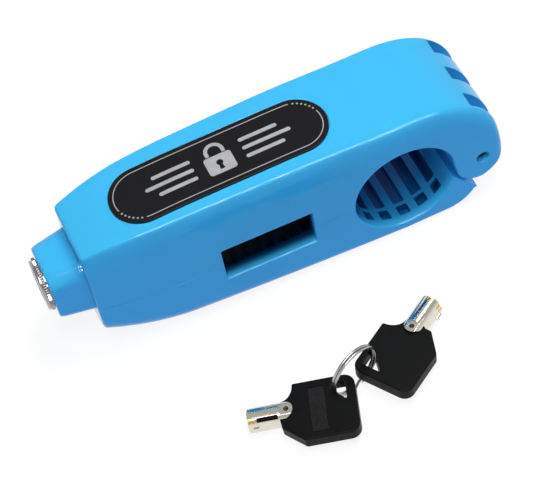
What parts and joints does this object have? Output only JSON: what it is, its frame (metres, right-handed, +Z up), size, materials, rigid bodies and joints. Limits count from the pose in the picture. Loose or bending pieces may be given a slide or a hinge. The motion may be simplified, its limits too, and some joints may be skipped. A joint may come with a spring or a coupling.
{
  "type": "clam-shell grip and brake lever lock with keys",
  "caption": "Hinged two-shell lock that closes round a handlebar grip and a squeezed brake lever, held by a push-and-turn tubular lock, with tubular keys on a split ring.",
  "frame": {"origin": "on the flat underside of the lower shell, below the middle of the lever slot, on the centre plane", "axes": "+X from the lock cylinder to the hinge, +Z up through the badge, -Y towards the keys"},
  "size_m": [0.1893, 0.123, 0.0632],
  "materials": {
    "blue_shell": "glossy light-blue ABS",
    "badge": "glossy black",
    "chrome": "polished",
    "steel": "zinc-plated",
    "spring_steel": "drawn wire",
    "ring_steel": "bright",
    "brass": "turned",
    "bow_plastic": "satin black",
    "key_nickel": "nickel-plated"
  },
  "bodies": {
    "base": {"base_shell": "blue_shell", "hinge_pin": "steel", "bolt_guide": "steel", "guide_screw_1": "steel", "guide_screw_2": "steel", "return_spring": "spring_steel"},
    "cover": {"cover_shell": "blue_shell", "badge_plate": "badge", "catch_plate": "steel", "catch_screw_1": "steel", "catch_screw_2": "steel"},
    "button": {"push_collar": "blue_shell", "lock_barrel": "chrome", "barrel_nut": "brass", "plug_retainer": "steel"},
    "rotor": {"lock_plug": "chrome", "lock_bolt": "steel"},
    "pin_1": {"tumbler_pin_1": "brass"},
    "pin_2": {"tumbler_pin_2": "brass"},
    "pin_3": {"tumbler_pin_3": "brass"},
    "pin_4": {"tumbler_pin_4": "brass"},
    "pin_5": {"tumbler_pin_5": "brass"},
    "pin_6": {"tumbler_pin_6": "brass"},
    "pin_7": {"tumbler_pin_7": "brass"},
    "ring": {"split_ring": "ring_steel"},
    "key_1": {"key_1_bow": "bow_plastic", "key_1_tube": "key_nickel", "key_1_rivet": "key_nickel"},
    "key_2": {"key_2_bow": "bow_plastic", "key_2_tube": "key_nickel", "key_2_rivet": "key_nickel"}
  },
  "joints": [
    {"name": "cover_hinge", "type": "hinge", "parent": "base", "child": "cover", "pos_m": [0.0915, 0, 0.0255], "axis": [0, 1, 0], "range_deg": [0, 120]},
    {"name": "button_slide", "type": "slide", "parent": "base", "child": "button", "axis": [1, 0, 0], "range_m": [0, 0.008], "stiffness_N_per_m": 600, "springref_m": -0.005, "deforming": ["return_spring"]},
    {"name": "bolt_turn", "type": "hinge", "parent": "button", "child": "rotor", "pos_m": [-0.07, 0, 0.0355], "axis": [1, 0, 0], "range_deg": [0, 90]},
    {"name": "tumbler_1_slide", "type": "slide", "parent": "rotor", "child": "pin_1", "axis": [1, 0, 0], "range_m": [0, 0.0025], "stiffness_N_per_m": 60, "springref_m": -0.002},
    {"name": "tumbler_2_slide", "type": "slide", "parent": "rotor", "child": "pin_2", "axis": [1, 0, 0], "range_m": [0, 0.0025], "stiffness_N_per_m": 60, "springref_m": -0.002},
    {"name": "tumbler_3_slide", "type": "slide", "parent": "rotor", "child": "pin_3", "axis": [1, 0, 0], "range_m": [0, 0.0025], "stiffness_N_per_m": 60, "springref_m": -0.002},
    {"name": "tumbler_4_slide", "type": "slide", "parent": "rotor", "child": "pin_4", "axis": [1, 0, 0], "range_m": [0, 0.0025], "stiffness_N_per_m": 60, "springref_m": -0.002},
    {"name": "tumbler_5_slide", "type": "slide", "parent": "rotor", "child": "pin_5", "axis": [1, 0, 0], "range_m": [0, 0.0025], "stiffness_N_per_m": 60, "springref_m": -0.002},
    {"name": "tumbler_6_slide", "type": "slide", "parent": "rotor", "child": "pin_6", "axis": [1, 0, 0], "range_m": [0, 0.0025], "stiffness_N_per_m": 60, "springref_m": -0.002},
    {"name": "tumbler_7_slide", "type": "slide", "parent": "rotor", "child": "pin_7", "axis": [1, 0, 0], "range_m": [0, 0.0025], "stiffness_N_per_m": 60, "springref_m": -0.002},
    {"name": "ring_lift", "type": "slide", "parent": "base", "child": "ring", "axis": [0, 0, 1], "range_m": [0, 0.15]},
    {"name": "key_1_swing", "type": "hinge", "parent": "ring", "child": "key_1", "pos_m": [-0.00198, -0.08161, 0.0114], "axis": [0, 0, 1], "range_deg": [-12, 12]},
    {"name": "key_2_swing", "type": "hinge", "parent": "ring", "child": "key_2", "pos_m": [0.01677, -0.0746, 0.0114], "axis": [0, 0, 1], "range_deg": [-12, 12]}
  ],
  "couplings": [
    {"joint": "tumbler_2_slide", "follows": "tumbler_1_slide", "ratio": 1},
    {"joint": "tumbler_3_slide", "follows": "tumbler_1_slide", "ratio": 1},
    {"joint": "tumbler_4_slide", "follows": "tumbler_1_slide", "ratio": 1},
    {"joint": "tumbler_5_slide", "follows": "tumbler_1_slide", "ratio": 1},
    {"joint": "tumbler_6_slide", "follows": "tumbler_1_slide", "ratio": 1},
    {"joint": "tumbler_7_slide", "follows": "tumbler_1_slide", "ratio": 1}
  ]
}
